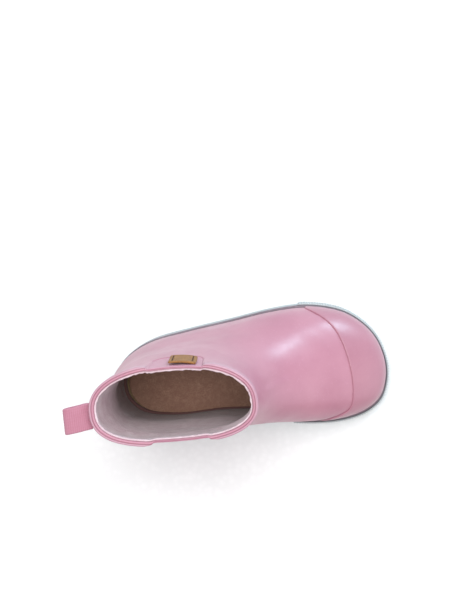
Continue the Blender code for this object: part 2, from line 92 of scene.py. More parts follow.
# Side panels in the shaft
PANEL_MIDDLE = -37 * MM
PANEL_FOOT = RIM - 30 * MM
PANEL_HALF_FOOT, PANEL_HALF_TOP = 14.5 * MM, 15.75 * MM
PANEL_CORNER = 6 * MM
RECESS = 0.95 * MM
PANEL_JOG = 0.8 * MM            # the whole wall stands this far in at the panels' tops
TURN = atan(SHAFT_LEAN)

# Where the toe cap ends, from the outer side to the inner side
CAP_EDGE = np.array([
    (36, 46), (39, 38.5), (44.5, 34.5), (51, 29.6), (57.5, 21.5), (61.8, 9), (63.8, -6), (63, -20), (60.3, -28.3),
    (54.5, -32.2), (46, -34.3), (37, -36), (30, -41),
]) * MM


# ---- The boot's form ----

def spline(points, t, closed):
    """Smooth curve through points; t counts points from the first."""
    count = len(points)
    start = np.floor(t).astype(int)
    if not closed:
        points = np.concatenate([2 * points[:1] - points[1:2], points, 2 * points[-1:] - points[-2:-1]])
        start = np.clip(start, 0, count - 2)
    f = (t - start)[:, None]
    a, b, c, d = (points[(start + k - closed) % len(points)] for k in range(4))
    return 0.5 * (2 * b + (c - a) * f + (2 * a - 5 * b + 4 * c - d) * f**2 + (3 * b - a - 3 * c + d) * f**3)


FINE = spline(OUTLINE, np.arange(0, len(OUTLINE), 0.02), True)
FINE = np.concatenate([FINE, FINE[:1]])
WAY = np.concatenate([[0], np.cumsum(np.linalg.norm(np.diff(FINE, axis=0), axis=1))])
ROUND_SOLE = WAY[-1]
WAY /= ROUND_SOLE
AHEAD = np.gradient(FINE, axis=0)
AHEAD[0] = AHEAD[-1] = FINE[1] - FINE[-2]
AHEAD /= np.linalg.norm(AHEAD, axis=1)[:, None]
OUTWARD = np.stack([AHEAD[:, 1], -AHEAD[:, 0]], axis=1)
HEEL_X, TOE_X = FINE[:, 0].min(), FINE[:, 0].max()
HEEL_SHARE, TOE_SHARE = (WAY[FINE[:, 0].argmin()] + 0.5) % 1 - 0.5, WAY[FINE[:, 0].argmax()]


def foot_line(share, outset=0.0):
    """Points on the sole's outline, moved outwards; share goes once round from the heel."""
    share = np.asarray(share, float) % 1
    return np.stack([
        np.interp(share, WAY, FINE[:, k]) + outset * np.interp(share, WAY, OUTWARD[:, k]) for k in (0, 1)
    ], axis=-1)


def sections(share):
    """The sixteen sections of the pink wall at each share: points[section, share]."""
    share = (np.asarray(share, float) - HEEL_SHARE) % 1 + HEEL_SHARE
    foot = foot_line(share)
    along = np.clip((foot[:, 0] - HEEL_X) / (TOE_X - HEEL_X), 0, 1)
    side = np.where(share < TOE_SHARE, -1.0, 1.0)
    oval = side * (1 - np.abs(2 * along - 1) ** OVAL_POWER) ** (1 / OVAL_POWER)
    rings = [
        np.column_stack([foot_line(share, outset * MM), np.full(len(share), z * MM)])
        for outset, z in ((-15.3, 4.3), (-7.8, 4.3), (-2.3, 9.8), (-2.3, 17.1))
    ]
    for back, front, back_z, front_z, half, foot_share in SECTIONS:
        x = (back + (front - back) * along) * MM
        ahead = x - (back + front) / 2 * MM
        shift = (1 - foot_share) * (SHAFT_SHIFT + SHAFT_LEAN * ahead + SHAFT_BOW * ahead**2)
        shift += foot_share * FOOT_SHIFT
        y = half * MM * (foot_share * foot[:, 1] / HALF_BALL + (1 - foot_share) * oval) + shift
        rings.append(np.column_stack([x, y, (back_z + (front_z - back_z) * along) * MM]))
    return np.array(rings)


def skin(share, row):
    """Points on the outer face of the pink wall; row counts sections up from the lasting margin."""
    share, row = np.broadcast_arrays(np.asarray(share, float), np.asarray(row, float))
    shape, share, row = share.shape, share.ravel(), row.ravel()
    knots = sections(share)
    knots = np.concatenate([2 * knots[:1] - knots[1:2], knots, 2 * knots[-1:] - knots[-2:-1]])
    start = np.clip(np.floor(row).astype(int), 0, RIM_ROW - 1)
    f = (row - start)[:, None]
    each = np.arange(len(share))
    a, b, c, d = (knots[start + k, each] for k in range(4))
    curve = 0.5 * (2 * b + (c - a) * f + (2 * a - 5 * b + 4 * c - d) * f**2 + (3 * b - a - 3 * c + d) * f**3)
    return curve.reshape(*shape, 3)


def wall(share, row, depth=0.0):
    """Points in the wall, depth inside the outer face; a depth below nought stands outside it."""
    share, row = np.broadcast_arrays(np.asarray(share, float), np.asarray(row, float))
    turn_by, climb = 4e-4, 0.02
    normal = np.cross(
        skin(share + turn_by, row) - skin(share - turn_by, row),
        skin(share, row + climb) - skin(share, row - climb),
    )
    level = np.clip((4 - row) / 1.0, 0, 1) + np.clip(row - RIM_ROW + 1, 0, 1)
    normal[..., 2] *= 1 - np.clip(level, 0, 1)
    normal /= np.linalg.norm(normal, axis=-1, keepdims=True)
    under = np.clip(2 - row, 0, 1)[..., None] * pi / 2
    normal = normal * np.cos(under) + np.array([0, 0, -1.0]) * np.sin(under)
    face = skin(share, row)
    jog = PANEL_JOG * (1 - smooth_step(panel_reach(face), -1.8 * MM, 2.2 * MM))
    jog = jog * (np.abs(face[..., 1]) > MIDDLE_STRIP)
    jog = jog * smooth_step(face[..., 2], PANEL_FOOT + 2 * MM, RIM - 8 * MM)
    return face - normal * (jog + depth)[..., None]


def find(across, z, share, axis=0):
    """Shares and rows of the shaft's points at this height and this x (axis 0) or y (axis 1), from a first share.

    Each step goes down the slope towards the point, so the first share only has to be on the right side.
    """
    across, z = np.broadcast_arrays(np.asarray(across, float), np.asarray(z, float))
    share, row = np.full(across.shape, float(share)), np.full(across.shape, 13.0)
    for _ in range(12):
        here = skin(share, row)
        slope = (skin(share + 1e-3, row) - here)[..., axis] / 1e-3
        rise = (skin(share, row + 0.05) - here)[..., 2] / 0.05
        share = share + np.clip((across - here[..., axis]) / slope, -0.05, 0.05)
        row = np.clip(row + np.clip((z - here[..., 2]) / rise, -1, 1), 0, RIM_ROW)
    return share, row


def smooth_step(value, low, high):
    t = np.clip((value - low) / (high - low), 0, 1)
    return t * t * (3 - 2 * t)


def ripple(points, size, seed):
    """Soft unevenness between -1 and 1, with bumps about this size apart."""
    x, y, z = np.moveaxis(points / size * pi, -1, 0)
    return (
        np.sin(x + 0.7 * np.sin(y * 0.8 + seed)) * np.sin(y * 1.1 + seed * 1.7 + 0.6 * np.sin(z))
        + np.sin(z * 0.9 + seed * 2.3 + 0.8 * np.sin(x * 0.7)) * np.cos(x * 0.6 - y * 0.5 + seed)
    ) / 2


def panel_reach(points):
    """How far each point lies outside the window of a side panel; below nought is inside it."""
    beside = np.abs((points[..., 0] - PANEL_MIDDLE) * cos(TURN) + points[..., 1] * sin(TURN))
    up = (points[..., 2] - PANEL_FOOT) / (RIM - PANEL_FOOT)
    across = beside - (PANEL_HALF_FOOT + (PANEL_HALF_TOP - PANEL_HALF_FOOT) * up) + PANEL_CORNER
    below = PANEL_FOOT - points[..., 2] + PANEL_CORNER
    outside = np.hypot(np.maximum(across, 0), np.maximum(below, 0))
    return outside + np.minimum(np.maximum(across, below), 0) - PANEL_CORNER


def close_set(length, edge, fine=5, step=1.6 * MM):
    """Distances from 0 to length, close together near both ends."""
    near = edge * (1 - np.cos(np.linspace(0, pi / 2, fine + 1)))
    count = max(2, round((length - 2 * edge) / step))
    middle = np.linspace(edge, length - edge, count + 1)[1:-1]
    return np.concatenate([near, middle, length - near[::-1]])


# ---- Making a piece ----

def only(piece):
    bpy.ops.object.select_all(action="DESELECT")
    piece.select_set(True)
    bpy.context.view_layer.objects.active = piece


def in_edit(piece, work):
    """Runs work on the whole mesh of one piece in edit mode."""
    only(piece)
    bpy.ops.object.mode_set(mode="EDIT")
    bpy.ops.mesh.select_all(action="SELECT")
    work()
    bpy.ops.object.mode_set(mode="OBJECT")


def settle(piece, name, finish, smooth_angle=None):
    """Names a made piece, welds it, shuts its open ends, turns its faces outwards and gives it its finish."""
    def weld():
        bpy.ops.mesh.remove_doubles(threshold=2e-6)
        bpy.ops.mesh.dissolve_degenerate(threshold=1e-7)
        bpy.ops.mesh.select_all(action="SELECT")
        bpy.ops.mesh.fill_holes(sides=0)
        bpy.ops.mesh.select_all(action="SELECT")
        bpy.ops.mesh.normals_make_consistent(inside=False)
    piece.name = piece.data.name = name
    in_edit(piece, weld)
    if smooth_angle is None:
        bpy.ops.object.shade_smooth()
    else:
        bpy.ops.object.shade_smooth_by_angle(angle=radians(smooth_angle))
    piece.data.materials.clear()
    piece.data.materials.append(finish)
    return piece


def laid_sheet(name, points, finish, smooth_angle=None):
    """A flat grid laid point by point on a form: points[row, column]."""
    rows, columns = points.shape[:2]
    bpy.ops.object.select_all(action="DESELECT")
    bpy.ops.mesh.primitive_grid_add(x_subdivisions=columns - 1, y_subdivisions=rows - 1, size=0.1)
    piece = bpy.context.object
    piece.data.vertices.foreach_set("co", points.reshape(-1))
    return settle(piece, name, finish, smooth_angle)


def closed_skin(name, outer, inner, finish, round_boot=True, smooth_angle=None):
    """A closed wall: up its outer face, over, down its inner face and shut. Both are points[row, column]."""
    points = np.concatenate([outer, inner[::-1], outer[:1]])
    if round_boot:
        points = np.concatenate([points, points[:, :1]], axis=1)
    return laid_sheet(name, points, finish, smooth_angle)


def bonded(name, share, row, margin, face, back, edge, finish):
    """A closed piece on the wall with a rounded edge. margin is each point's distance from the piece's own edge."""
    swell = np.sqrt(1 - (1 - np.clip(margin / edge, 0, 1)) ** 2)
    middle = back - (back - face) * 0.35
    outer = wall(share, row, middle - (middle - face) * swell)
    inner = wall(share, row, middle + (back - middle) * swell)
    return closed_skin(name, outer, inner, finish, round_boot=False)


def swept(name, profile_at, stations, finish, smooth_angle=None):
    """A bar drawn out station by station from one end face, with both ends closed."""
    first = profile_at(stations[0])
    count = len(first)
    bpy.ops.object.select_all(action="DESELECT")
    bpy.ops.mesh.primitive_circle_add(vertices=count, radius=0.01, fill_type="NGON", enter_editmode=True)
    bpy.ops.mesh.select_all(action="SELECT")
    for _ in stations[1:]:
        bpy.ops.mesh.extrude_region_move(TRANSFORM_OT_translate={"value": (0, 0, 0.001)})
    bpy.ops.object.mode_set(mode="OBJECT")
    piece = bpy.context.object
    points = np.array([profile_at(s) for s in stations])
    piece.data.vertices.foreach_set("co", points.reshape(-1))
    in_edit(piece, lambda: bpy.ops.mesh.normals_make_consistent(inside=False))
    return settle(piece, name, finish, smooth_angle)


# ---- Finishes ----

def linear(code):
    """An sRGB hex colour as linear RGBA."""
    values = [int(code[k:k + 2], 16) / 255 for k in (1, 3, 5)]
    return (*(v / 12.92 if v <= 0.04045 else ((v + 0.055) / 1.055) ** 2.4 for v in values), 1)


def add(tree, kind, inputs=None, **settings):
    """Adds a node; inputs maps a socket to a value or to the output that feeds it."""
    node = tree.nodes.new(kind)
    for key, value in settings.items():
        setattr(node, key, value)
    for socket, value in (inputs or {}).items():
        if isinstance(value, bpy.types.NodeSocket):
            tree.links.new(value, node.inputs[socket])
        else:
            node.inputs[socket].default_value = value
    return node


def new_finish(name, roughness, ior=1.5, **sockets):
    material = bpy.data.materials.new(name)
    material.use_nodes = True
    tree = material.node_tree
    shader = tree.nodes["Principled BSDF"]
    shader.inputs["Roughness"].default_value = roughness
    shader.inputs["IOR"].default_value = ior
    for key, value in sockets.items():
        shader.inputs[key.replace("_", " ")].default_value = value
    place = add(tree, "ShaderNodeTexCoord")
    return material, tree, shader, place


def blend_colours(tree, share, first, second, low=0.0, high=1.0):
    """A colour that goes from first to second as share goes from low to high."""
    spread = add(tree, "ShaderNodeMapRange", {"Value": share, "From Min": low, "From Max": high})
    return add(tree, "ShaderNodeMix", {0: spread.outputs[0], 6: first, 7: second}, data_type="RGBA").outputs[2]


def moulded_rubber(name, light, dark, dust, roughness, grain_mm, grain_depth, dusty):
    """Rubber cured on the last: soft gloss, faint clouds of colour, an orange-peel grain and a little dust."""
    material, tree, shader, place = new_finish(name, roughness, ior=1.52)
    where = place.outputs["Object"]
    clouds = add(tree, "ShaderNodeTexNoise", {
        "Vector": where, "Scale": 1 / (28 * MM), "Detail": 4.0, "Roughness": 0.55,
    })
    colour = blend_colours(tree, clouds.outputs[0], linear(light), linear(dark), 0.35, 0.68)
    specks = add(tree, "ShaderNodeTexNoise", {
        "Vector": where, "Scale": 1 / (1.6 * MM), "Detail": 3.0, "Roughness": 0.6,
    })
    colour = blend_colours(tree, specks.outputs[0], colour, linear(dust), 0.6, 0.6 + 0.25 / dusty)
    tree.links.new(colour, shader.inputs["Base Color"])
    smears = add(tree, "ShaderNodeTexNoise", {
        "Vector": where, "Scale": 1 / (9 * MM), "Detail": 6.0, "Distortion": 0.6,
    })
    gloss = add(tree, "ShaderNodeMapRange", {
        "Value": smears.outputs[0], "From Min": 0.3, "From Max": 0.7,
        "To Min": roughness - 0.04, "To Max": roughness + 0.05,
    })
    tree.links.new(gloss.outputs[0], shader.inputs["Roughness"])
    peel = add(tree, "ShaderNodeTexNoise", {"Vector": where, "Scale": 1 / (grain_mm * MM), "Detail": 2.0})
    dents = add(tree, "ShaderNodeTexNoise", {"Vector": where, "Scale": 1 / (7 * MM), "Detail": 1.0})
    soft = add(tree, "ShaderNodeBump", {"Height": dents.outputs[0], "Strength": 0.5, "Distance": 0.12 * MM})
    bump = add(tree, "ShaderNodeBump", {
        "Height": peel.outputs[0], "Strength": 0.6, "Distance": grain_depth * MM, "Normal": soft.outputs[0],
    })
    tree.links.new(bump.outputs[0], shader.inputs["Normal"])
    return material


WAVES_PER_UNIT = 0.314          # scale at which a wave texture repeats once in one unit


def woven(name, first, second, across_mm, along_mm, size, depth, sheen, roughness=0.9, ribbed=False, painted_shade=None):
    """Cloth with its threads along the piece's own map, whose full width and height are size in metres.

    The last argument is the colour it takes towards the bottom: painted shade, darker and browner deep inside the
    boot.
    """
    material, tree, shader, place = new_finish(name, roughness, Sheen_Weight=sheen, Sheen_Roughness=0.5)
    scale = add(tree, "ShaderNodeMapping", {"Vector": place.outputs["UV"], "Scale": (*size, 1)})
    warp, weft = (
        add(tree, "ShaderNodeTexWave", {
            "Vector": scale.outputs[0], "Scale": WAVES_PER_UNIT / (spacing * MM), "Distortion": 1.2, "Detail": 2.0,
            "Detail Scale": 2.0,
        }, bands_direction=direction)
        for spacing, direction in ((across_mm, "X"), (along_mm, "Y"))
    )
    crossing = "MAXIMUM" if ribbed else "MULTIPLY"
    mesh = add(tree, "ShaderNodeMath", {0: warp.outputs[1], 1: weft.outputs[1]}, operation=crossing)
    fuzz = add(tree, "ShaderNodeTexNoise", {"Vector": place.outputs["Object"], "Scale": 1 / (5 * MM), "Detail": 5.0})
    height = add(tree, "ShaderNodeMath", {0: mesh.outputs[0], 1: fuzz.outputs[0]}, operation="ADD")
    colour = blend_colours(tree, height.outputs[0], linear(second), linear(first), 0.35, 1.35)
    # Painted shade: the colour darkens and browns towards the bottom of the piece.
    if painted_shade:
        level = add(tree, "ShaderNodeSeparateXYZ", {"Vector": place.outputs["Object"]})
        colour = blend_colours(tree, level.outputs[2], linear(painted_shade), colour, 0.02, 0.095)
    tree.links.new(colour, shader.inputs["Base Color"])
    bump = add(tree, "ShaderNodeBump", {"Height": height.outputs[0], "Strength": 0.7, "Distance": depth * MM})
    tree.links.new(bump.outputs[0], shader.inputs["Normal"])
    return material


def fibrous(name, first, second, grain_mm, depth_mm, roughness, stretch=(1, 1, 1)):
    """Leather, felt, foam or board: a fine broken grain in two tones."""
    material, tree, shader, place = new_finish(name, roughness)
    aim = add(tree, "ShaderNodeMapping", {"Vector": place.outputs["Object"], "Scale": stretch})
    cells = add(tree, "ShaderNodeTexVoronoi", {"Vector": aim.outputs[0], "Scale": 1 / (grain_mm * MM)}, feature="F1")
    tone = add(tree, "ShaderNodeTexNoise", {
        "Vector": aim.outputs[0], "Scale": 1 / (6 * grain_mm * MM), "Detail": 6.0,
    })
    both = add(tree, "ShaderNodeMath", {0: cells.outputs[0], 1: tone.outputs[0]}, operation="ADD")
    colour = blend_colours(tree, both.outputs[0], linear(first), linear(second), 0.45, 1.15)
    tree.links.new(colour, shader.inputs["Base Color"])
    bump = add(tree, "ShaderNodeBump", {"Height": both.outputs[0], "Strength": 0.6, "Distance": depth_mm * MM})
    tree.links.new(bump.outputs[0], shader.inputs["Normal"])
    return material


# Natural rubber, dipped and cured: a soft wide highlight on a slightly clouded pink.
PINK = moulded_rubber("cured_pink_rubber", "#B57E8F", "#AC7486", "#C08FA0", 0.37, 0.9, 0.02, 0.6)
# The toe cap is a second calendered layer of the same rubber; its deeper pink is painted shade.
CAP_PINK = moulded_rubber("toe_cap_painted_shade_pink_rubber", "#AD7787", "#A56F80", "#B58696", 0.37, 0.9, 0.02, 0.6)
# The binding round the rim is the palest pink: painted light on the rim, with a little more dust than the wall.
COLLAR_PINK = moulded_rubber("dusted_painted_light_pink_rubber", "#BB909F", "#B18495", "#C8A3AF", 0.42, 0.7, 0.02, 0.8)
# The panels are the same rubber on an elastic cloth, so a finer and duller skin.
PANEL_PINK = moulded_rubber("pink_rubber_on_elastic", "#B98396", "#AD7588", "#C496A4", 0.45, 0.6, 0.05, 0.6)
# Calendered grey rubber, wiped with chalk in the works, which leaves it pale and dull.
GREY = moulded_rubber("chalky_grey_rubber", "#B4BABC", "#A0A5A8", "#C4C8C8", 0.6, 0.7, 0.05, 1.2)
# The same rubber in dark purple-grey for the ledge in the corner under the pink wall: painted shade, tinted by a
# painted reflection of the pink.
DARK = moulded_rubber("painted_shade_dark_rubber", "#84777F", "#6F626B", "#9B9096", 0.6, 0.7, 0.05, 1.2)
# Outsole rubber: hard, grey and scuffed.
SOLE = moulded_rubber("scuffed_sole_rubber", "#8C8F92", "#707377", "#B4B4B2", 0.7, 0.5, 0.08, 2.2)
# Knitted cotton lining: off-white stitches in 0.9 mm wales with pink between them, with painted shade that turns it
# darker and browner towards the foot.
KNIT = woven("cotton_knit", "#F4E6EA", "#BC98A4", 0.9, 0.7, (0.45, 0.3), 0.12, 0.3, painted_shade="#7A5450")
# Polyester webbing, with ribs along it and a dull sheen.
WEBBING = woven(
    "ribbed_polyester_webbing", "#B97E91", "#A66477", 0.9, 0.6, (0.034, 0.032), 0.05, 0.2, 0.8, ribbed=True
)
# Brushed brown insole cloth: a short matt nap in two browns.
INSOLE = fibrous("brushed_insole_cloth", "#B48F79", "#906B5A", 0.5, 0.12, 0.92)
# Vegetable-tanned leather: fine pores in golden brown, with a dull wax.
LEATHER = fibrous("waxed_tan_leather", "#B07C3E", "#7F5322", 0.45, 0.06, 0.62)
# Waxed thread: dark, with short glints along its twist.
THREAD = fibrous("waxed_brown_thread", "#5B3322", "#38190F", 0.3, 0.05, 0.6, (1, 1, 2))
# Foam of the insole and the filler: pale open cells.
FOAM = fibrous("open_cell_foam", "#C9C2B2", "#9C9484", 0.6, 0.2, 0.95)
# Insole board: mottled pressed fibre.
BOARD = fibrous("pressed_fibre_board", "#B59B76", "#8A7252", 0.8, 0.08, 0.9)
# Stiffeners: matt needled felt.
FELT = fibrous("needled_felt", "#BDB4A6", "#938A7D", 0.7, 0.15, 0.95)
# Studio floor: white paper with no visible grain.
FLOOR = fibrous("matt_studio_paper", "#F6F6F6", "#F1F1F1", 4.0, 0.01, 0.9)


def carry_over(node, finish):
    """A node of the frame keeps its mesh and takes a better finish."""
    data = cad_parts[node].data
    data.materials.clear()
    data.materials.append(finish)


for hidden_node, its_finish in (
    ("outsole", SOLE), ("bottom_filler", FOAM), ("insole_board", BOARD),
    ("toe_puff", FELT), ("instep_ply", FELT), ("heel_stiffener", FELT),
):
    carry_over(hidden_node, its_finish)


# ---- Pink wall ----

def wall_shares():
    """Shares of the way round: even, but close together across the edges of the side panels."""
    even = np.arange(0, 1, 1 / 230)
    close = []
    for side, first in ((-1, 0.2), (1, 0.8)):
        for middle in (-PANEL_HALF_FOOT, PANEL_HALF_FOOT):
            x = PANEL_MIDDLE + middle + np.arange(-7, 7.1, 0.55) * MM * -np.sign(middle)
            found = find(x, PANEL_FOOT + 5 * MM, first)[0] % 1
            close.append(found)
            even = even[(even < found.min() - 0.001) | (even > found.max() + 0.001)]
    return np.sort(np.concatenate([even, *close]))


SHARES = wall_shares()
ROWS = np.concatenate([
    np.linspace(1, 4, 14)[:-1], np.linspace(4, 12.2, 52)[:-1], np.linspace(12.2, 13.3, 24)[:-1],
    np.linspace(13.3, RIM_ROW - 0.9 * MM / ROW_STEP, 14),
])


def crease(points, ends, width, height):
    """A soft fold that stands up along a line between two points of the instep, seen from above."""
    (ax, ay), (bx, by) = ends
    along = np.array([bx - ax, by - ay]) * MM
    length = np.hypot(*along)
    offset = points[..., :2] - np.array([ax, ay]) * MM
    t = offset @ along / length**2
    off = np.abs(offset @ np.array([-along[1], along[0]])) / length
    fade = smooth_step(t, -0.35, 0.2) * (1 - smooth_step(t, 0.8, 1.35))
    return height * MM * fade * np.exp(-(off / (width * MM)) ** 2) * (points[..., 2] > 30 * MM)


def make_upper():
    share, row = np.meshgrid(SHARES, ROWS)
    plain = skin(share, row)
    on_side = np.abs(plain[..., 1]) > MIDDLE_STRIP
    depth = RECESS * (1 - smooth_step(panel_reach(plain), -0.35 * MM, 0.35 * MM)) * on_side
    soft = smooth_step(row, 3.3, 5) * (1 - smooth_step(row, 13.5, 14.6))
    depth = depth - 0.16 * MM * soft * ripple(plain, 17 * MM, 1.0)
    depth -= crease(plain, ((10, -6), (25, -3)), 1.5, 0.35) + crease(plain, ((0, 15), (7.5, 2.5)), 1.6, 0.3)
    depth += crease(plain, ((11, -2.5), (25, 1)), 2.0, 0.25)
    outer = wall(share, row, depth)
    top, over = depth[-1], []
    for angle in np.linspace(0, pi, 9)[1:-1]:
        ring = wall(SHARES, ROWS[-1], (top + WALL) / 2 - (WALL - top) / 2 * cos(angle))
        ring[:, 2] += 0.9 * MM * sin(angle)
        over.append(ring)
    inner = wall(share[::4], row[::4], WALL)
    piece = closed_skin("upper_shell", np.concatenate([outer, over]), inner, PINK)
    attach(piece, "boot")
    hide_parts("upper")


def make_side_panels():
    """Elastic gussets, rubbered over, set below the face of the wall in a narrow channel."""
    clear, edge = 0.15 * MM, 0.7 * MM
    height = RIM - PANEL_FOOT - clear
    up = close_set(height, edge)
    for side, first, name in ((1, 0.8, "lateral"), (-1, 0.2, "medial")):
        half_top = PANEL_HALF_TOP - clear
        across = close_set(2 * half_top, edge) / (2 * half_top)
        corner = PANEL_CORNER - clear
        pull_in = np.where(up < corner, corner - np.sqrt(np.maximum(corner**2 - (corner - up) ** 2, 0)), 0)
        half = PANEL_HALF_FOOT - clear + (PANEL_HALF_TOP - PANEL_HALF_FOOT) * up / height - pull_in
        beside = (across[None] * 2 - 1) * half[:, None]
        z = np.broadcast_to((PANEL_FOOT + clear + up)[:, None], beside.shape)
        x = PANEL_MIDDLE + beside
        for _ in range(3):
            share, row = find(x, z, first)
            x = PANEL_MIDDLE + (beside - skin(share, row)[..., 1] * sin(TURN)) / cos(TURN)
        share, row = find(x, z, first)
        inset = np.minimum(np.minimum(across, 1 - across)[None] * 2 * half[:, None], up[:, None])
        inset = np.minimum(inset, height - up[:, None])
        gather = 0.06 * MM * np.sin(beside / (2.1 * MM) * 2 * pi) * smooth_step(inset, 0.6 * MM, 2.5 * MM)
        piece = bonded(
            f"side_panel_{name}_gusset", share, row, inset, 0.3 * MM + gather, 1.0 * MM, edge, PANEL_PINK
        )
        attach(piece, "boot")
        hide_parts(f"side_panel_{name}")


def make_toe_cap():
    """A second layer of rubber over the toe, with a rounded edge across the vamp."""
    edge_line = spline(CAP_EDGE, np.linspace(0, len(CAP_EDGE) - 1, 200), False)[::-1]
    shares = np.linspace(TOE_SHARE - 0.2, TOE_SHARE + 0.2, 260)
    fine = np.linspace(3.0, 9.0, 500)
    points = skin(*np.meshgrid(shares, fine))
    inside = points[..., 0] > np.interp(points[..., 1], edge_line[:, 1], edge_line[:, 0])
    last = np.where(inside.all(axis=0), len(fine) - 1, inside.argmin(axis=0))
    keep = last > 4
    shares, last, points = shares[keep], last[keep], points[:, keep]
    step = np.linalg.norm(np.diff(points, axis=0), axis=2)
    travelled = np.concatenate([np.zeros((1, len(shares))), np.cumsum(step, axis=0)])
    before_edge = np.concatenate([np.linspace(1, 0, 40)[:-1] ** 1.15, [0]])
    near = np.array([1.0, 0.8, 0.6, 0.42, 0.27, 0.15, 0.07, 0.02, 0]) * 0.8 * MM
    rows, margins = [], []
    for k, end in enumerate(last):
        length = travelled[end, k]
        left = np.linspace(length, 0, len(before_edge) - 1 + len(near))
        if length > 2 * near[0]:
            left = np.concatenate([near[0] + (length - near[0]) * before_edge[:-1], near])
        rows.append(np.interp(length - left, travelled[:, k], fine))
        margins.append(left)
    row, margin = np.array(rows).T, np.array(margins).T
    share = np.broadcast_to(shares, row.shape)
    from_side = np.minimum(np.arange(len(shares)), np.arange(len(shares))[::-1]) * 0.5 * MM
    # The cap's deeper pink is painted shade.
    piece = bonded(
        "toe_cap_layer", share, row, np.minimum(margin, from_side), -CAP_RISE, 0.15 * MM, 0.7 * MM, CAP_PINK
    )
    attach(piece, "boot")
    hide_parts("toe_cap")


def make_collar_strips():
    """Binding round the outside of the rim, left out where the side panels are."""
    low = RIM - 8 * MM
    for name, first, last in (("front", 0.31, 0.69), ("rear", -0.19, 0.19)):
        shares = np.linspace(first, last, 400)
        rim = skin(shares, RIM_ROW)
        beside = (rim[:, 0] - PANEL_MIDDLE) * cos(TURN) + rim[:, 1] * sin(TURN)
        half = PANEL_HALF_TOP + GAP
        shares = shares[beside > half] if name == "front" else shares[beside < -half]
        shares = np.linspace(shares[0], shares[-1], 170)
        ends = np.abs(np.arange(len(shares))[:, None] - np.array([0, len(shares) - 1])).min(axis=1)
        length = ROUND_SOLE * 0.45 * (shares[1] - shares[0]) * ends
        up = close_set(RIM - low, 0.55 * MM, 6, 1.2 * MM)
        row = np.broadcast_to((RIM_ROW - (RIM - low - up) / ROW_STEP)[:, None], (len(up), len(shares)))
        share = np.broadcast_to(shares, row.shape)
        margin = np.minimum(np.minimum(up, (RIM - low) - up)[:, None], length[None])
        full = 0.2 + 0.8 * smooth_step(length, 0, 5 * MM)
        face = (-BINDING_RISE - 0.08 * MM * ripple(skin(share, row), 14 * MM, 3.0)) * full
        # The binding's pale pink is painted light.
        piece = bonded(f"collar_binding_{name}", share, row, margin, face, 0.12 * MM, 0.55 * MM, COLLAR_PINK)
        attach(piece, "boot")
        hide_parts(f"collar_strip_{name}")


# ---- Inside ----

def make_lining():
    """Knitted lining, stuck to the wall, with its raw edge just under the rim."""
    share, row = np.meshgrid(SHARES[::2], ROWS)
    plain = skin(share, row)
    lower = 1 - smooth_step(row, 12.5, 14)
    back = 1.9 * MM + 1.1 * MM * lower
    frayed = np.random.default_rng(7).uniform(-1, 1, len(SHARES[::2]))[None]
    wrinkle = 0.25 * MM * ripple(plain, 9 * MM, 5.0) * smooth_step(row, 2.5, 5) * (1 - smooth_step(row, 14.2, 14.9))
    outer, inner = wall(share, row, back), wall(share, row, back + LINING + wrinkle)
    lip = smooth_step(row, 14.75, ROWS[-1])
    for face in (outer, inner):
        face[..., 2] += lip * (0.3 * MM + 0.2 * MM * frayed)
    inwards = wall(share, row, 1 * MM) - wall(share, row, 0)
    inner += inwards * (lip * (0.1 + 0.28 * frayed))[..., None]
    # The knit carries painted shade towards the foot.
    piece = closed_skin("knit_lining", outer, inner, KNIT)
    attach(piece, "boot")
    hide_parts("lining")


INSOLE_INSET = 7.3 * MM         # from the outline of the sole
INSOLE_SHORT = 2.8 * MM         # room at the heel to lift it out


def insole_ring(shares, scale, inset, z):
    """A ring of the loose insole, drawn in towards its middle line."""
    edge = foot_line(shares, -inset)
    toe, heel = edge[:, 0].max(), edge[:, 0].min()
    edge[:, 0] = toe + (edge[:, 0] - toe) * (1 - INSOLE_SHORT / (toe - heel))
    spine = np.stack([np.clip(edge[:, 0], heel + 24 * MM, toe - 30 * MM), np.zeros(len(edge))], axis=1)
    spine[:, 1] = np.interp(spine[:, 0], [heel, -0.02, 0.03, toe], [0.0005, 0.002, -0.0005, -0.001])
    flat = spine + (edge - spine) * scale
    return np.column_stack([flat, np.full(len(flat), z)])


def make_insole():
    """Brown cover on its foam, slightly dished, with the gap round it that lets it lift out."""
    shares = np.linspace(0, 1, 200, endpoint=False)
    for name, node, low, high, finish, soft in (
        ("insole_foam_bed", "insole_foam", FOAM_LOW, FOAM_TOP, FOAM, 0.5 * MM),
        ("insole_cloth_cover", "insole_cover", COVER_LOW, COVER_TOP, INSOLE, 0.3 * MM),
    ):
        top = []
        for scale in [0.06, 0.12, 0.2, 0.34, 0.48, 0.6, 0.7, 0.78, 0.85, 0.91, 0.95]:
            ring = insole_ring(shares, scale, INSOLE_INSET, high)
            if node == "insole_cover":
                ring[:, 2] += -0.3 * MM * (1 - scale**2) + 0.12 * MM * ripple(ring, 12 * MM, 2.0)
            top.append(ring)
        for angle in np.linspace(0, pi, 7):
            z = (low + high) / 2 + (high - low) / 2 * cos(angle)
            top.append(insole_ring(shares, 1.0, INSOLE_INSET + soft * (1 - sin(angle)), z))
        bottom = [insole_ring(shares, scale, INSOLE_INSET, low) for scale in (0.9, 0.5, 0.06)]
        points = np.array(top + bottom)
        points = np.concatenate([points, points[:, :1]], axis=1)
        piece = laid_sheet(name, points[::-1], finish)
        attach(piece, "insole")
        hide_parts(node)


# ---- Trim round the sole ----

BUMPER_REACH = (0.3, 0.675)     # shares of the way round at which it starts and ends
BUMPER_BACK = 0.05 * MM
RIB_PITCH, RIB_DEPTH = 1.7 * MM, 0.42 * MM


